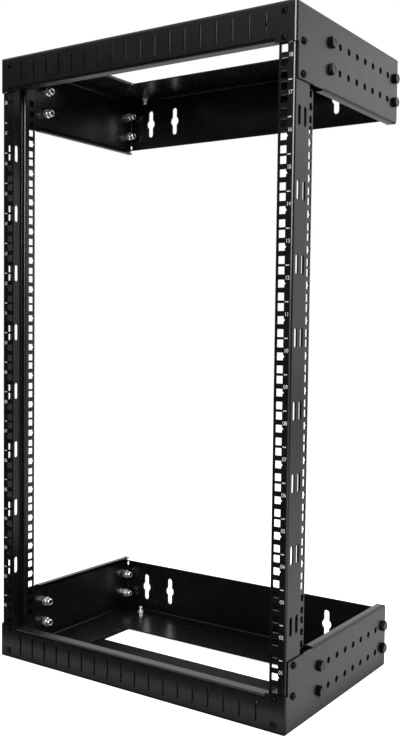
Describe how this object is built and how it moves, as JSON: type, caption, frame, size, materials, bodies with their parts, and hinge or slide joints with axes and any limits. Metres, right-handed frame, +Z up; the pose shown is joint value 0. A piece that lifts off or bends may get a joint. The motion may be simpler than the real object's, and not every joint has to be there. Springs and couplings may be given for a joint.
{
  "type": "wall-mount open frame rack",
  "caption": "Open frame equipment rack for a wall: two perforated posts between folded top and bottom trays of adjustable depth, with keyhole wall plates.",
  "frame": {"origin": "centre of the rack's outline on the floor", "axes": "+X to the right seen from the front, +Y from the front to the wall, +Z up"},
  "size_m": [0.5106, 0.3048, 0.9001],
  "materials": {
    "black_tray": "satin black powder coat",
    "black_post": "satin black powder coat",
    "black_bolt": "black oxide",
    "zinc": "bright zinc plate"
  },
  "bodies": {
    "root": {"top_front_tray": "black_tray", "bottom_front_tray": "black_tray", "top_wall_tray": "black_tray", "bottom_wall_tray": "black_tray", "left_post": "black_post", "right_post": "black_post", "top_right_lock_bolts": "black_bolt", "top_right_lock_nuts": "zinc", "top_right_plate_studs": "zinc", "top_right_plate_nuts": "zinc", "top_left_lock_bolts": "black_bolt", "top_left_lock_nuts": "zinc", "top_left_plate_studs": "zinc", "top_left_plate_nuts": "zinc", "bottom_right_lock_bolts": "black_bolt", "bottom_right_lock_nuts": "zinc", "bottom_right_plate_studs": "zinc", "bottom_right_plate_nuts": "zinc", "bottom_left_lock_bolts": "black_bolt", "bottom_left_lock_nuts": "zinc", "bottom_left_plate_studs": "zinc", "bottom_left_plate_nuts": "zinc"}
  },
  "joints": []
}
